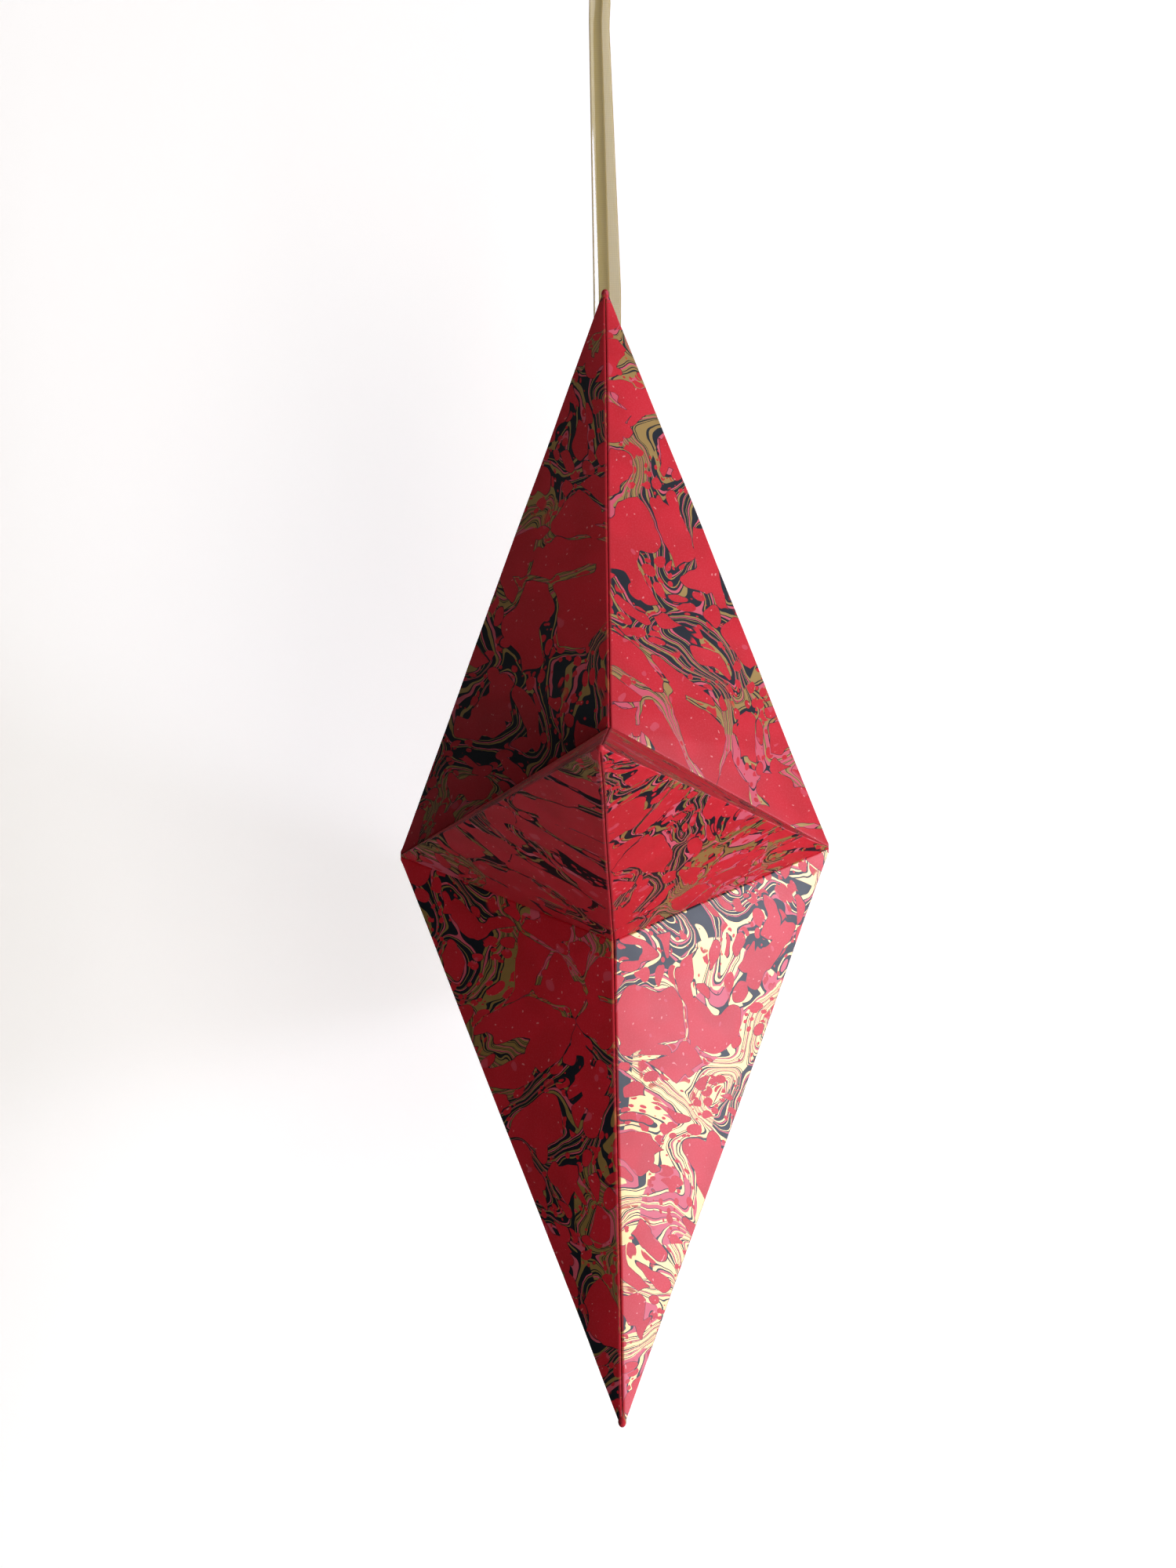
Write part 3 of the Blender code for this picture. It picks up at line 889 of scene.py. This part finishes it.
feed(cloth_shader, "Alpha", alpha)
feed(cloth_shader, "Base Color", selvedge.blend(opaque(GOLD_THREAD), opaque(SELVEDGE)))
cloth_shader.inputs["Roughness"].default_value = 0.6
cloth_shader.inputs["Specular IOR Level"].default_value = 0.2
dress((ribbon, knot), sheer)
print("sheer finish on the ribbon and the knot")

# %% [markdown]
# Inside, the boards are plain grey board and the strips brown paper. They keep their CAD
# shapes and get a fibrous finish, which shows when the star is taken apart.

# %% Board and strip finishes
def fibrous(name, pale, dark, size):
    """Pulp with fibres: clouds of two sizes, and a fine bump."""
    finish, dye, shader = new_finish(name)
    place = dye.node("ShaderNodeTexCoord", (), (), OBJECT_PLACE).times(1000)
    pulp = dye.node("ShaderNodeTexNoise", (), {"Vector": place, "Scale": 1 / size, "Detail": 4.0})
    flecks = dye.node("ShaderNodeTexNoise", (), {"Vector": place, "Scale": 2.2, "Detail": 2.0})
    mixed = pulp.between(0.3, 0.7).blend(opaque(pale), opaque(dark))
    feed(shader, "Base Color", (flecks.between(0.62, 0.70) * 0.5).blend(mixed, opaque(dark)))
    feed(shader, "Roughness", 0.85 + flecks * 0.1)
    feed(shader, "Normal", dye.node("ShaderNodeBump", (), {"Height": flecks, "Distance": 0.00005}))
    return finish


grey_board = fibrous("grey board", (0.42, 0.38, 0.32), (0.30, 0.27, 0.23), 1.6)
brown_paper = fibrous("brown paper", (0.50, 0.38, 0.24), (0.38, 0.27, 0.16), 0.9)
for starts, finish in (("board", grey_board), (("seam_strip", "valley_strip"), brown_paper)):
    dress([node for name, node in frame["nodes"].items() if name.startswith(starts)], finish)
print("boards and strips finished")

# %% [markdown]
# The star hangs before a white wall, over a pale floor. Both are one-sided: seen from
# behind they are clear, so that the star can be looked at from any side. They are clear
# to the gloss too. Real paper's fibres shade one another at a flat angle, so it doesn't
# mirror a wall, as a shader's smooth gloss would. The wall is partly white by itself and
# still takes the star's soft shadow.

# %% Wall and floor
def one_sided(name, albedo, own_light):
    """A pale stage finish that is clear from behind, and partly white by itself."""
    finish, dye, shader = new_finish(name)
    seen = dye.node("ShaderNodeLightPath", (), (), CAMERA_RAY)
    shader.inputs["Base Color"].default_value = opaque(albedo)
    shader.inputs["Roughness"].default_value = 0.9
    shader.inputs["Emission Strength"].default_value = 1.0
    feed(shader, "Emission Color", seen.blend(opaque((0, 0, 0)), opaque(own_light)))
    clear = dye.node("ShaderNodeBsdfTransparent")
    behind = dye.node("ShaderNodeNewGeometry", (), (), BACKFACING)
    gloss = dye.node("ShaderNodeLightPath", (), (), GLOSSY_RAY)
    both = dye.node("ShaderNodeMixShader", (), {0: behind.math("MAXIMUM", gloss), 2: clear})
    tree = finish.node_tree
    tree.links.new(shader.outputs[0], both.socket.node.inputs[1])
    tree.links.new(both.socket, tree.nodes["Material Output"].inputs[0])
    return finish


def stage_plane(name, place, rotation, finish):
    """A square of the stage, which isn't part of the model."""
    deselect()
    bpy.ops.mesh.primitive_plane_add(size=STAGE_SIZE, location=place, rotation=rotation)
    plane = bpy.context.object
    plane.name = name
    plane.data.materials.append(finish)


STAGE_SIZE = 4
WALL_BEHIND = 0.108
FLOOR_LEVEL = -1.50
WALL_PAINT, WALL_LIGHT = (0.90, 0.875, 0.84), (0.445, 0.42, 0.368)
FLOOR_PAINT, FLOOR_LIGHT = (0.70, 0.70, 0.69), (0.62, 0.62, 0.61)
stage_plane("wall", star_centre + Vector((0, WALL_BEHIND, 0)), (pi / 2, 0, 0),
            one_sided("white wall", WALL_PAINT, WALL_LIGHT))
stage_plane("floor", (0, WALL_BEHIND - STAGE_SIZE / 2, FLOOR_LEVEL), (0, 0, 0),
            one_sided("pale floor", FLOOR_PAINT, FLOOR_LIGHT))
print("stage set")

# %% [markdown]
# The light in the picture comes softly from the right. A key lamp, low and to the
# camera's right, throws the soft shadow to the left. A broad window further right makes
# the gloss on the lower right face, and a weak ceiling light reaches the upper left. A
# dim world fills the rest, though the camera sees it white.

# %% Lamps and world
def soft_lamp(name, azimuth, elevation, distance, size, watts, colour):
    """A square lamp that looks at the star's middle, from so many degrees right and up."""
    data = bpy.data.lights.new(name, "AREA")
    data.size = size
    data.color = colour
    data.energy = watts
    lamp = bpy.data.objects.new(name, data)
    bpy.context.scene.collection.objects.link(lamp)
    a, e = radians(azimuth), radians(elevation)
    towards = Vector((sin(a) * cos(e), -cos(a) * cos(e), sin(e)))
    lamp.location = star_centre + towards * distance
    lamp.rotation_euler = towards.to_track_quat("Z", "Y").to_euler()


DIM_SKY = (0.025, 0.025, 0.026)
WHITE = (1, 1, 1)
soft_lamp("key", 22, -22, 1.4, 0.50, 4.5, (1.0, 0.98, 0.95))
soft_lamp("window", 66, -5, 1.6, 1.05, 31.0, (0.95, 1.0, 1.20))
soft_lamp("ceiling", -60, 70, 1.2, 1.0, 2.0, WHITE)
world = bpy.data.worlds.new("studio")
bpy.context.scene.world = world
world.use_nodes = True
dye = Dye(world.node_tree)
seen = dye.node("ShaderNodeLightPath", (), (), CAMERA_RAY)
sky = seen.blend(opaque(DIM_SKY), opaque(WHITE))
world.node_tree.links.new(sky.socket, world.node_tree.nodes["Background"].inputs[0])
bpy.context.scene.view_settings.view_transform = "Standard"
print("lamps lit")
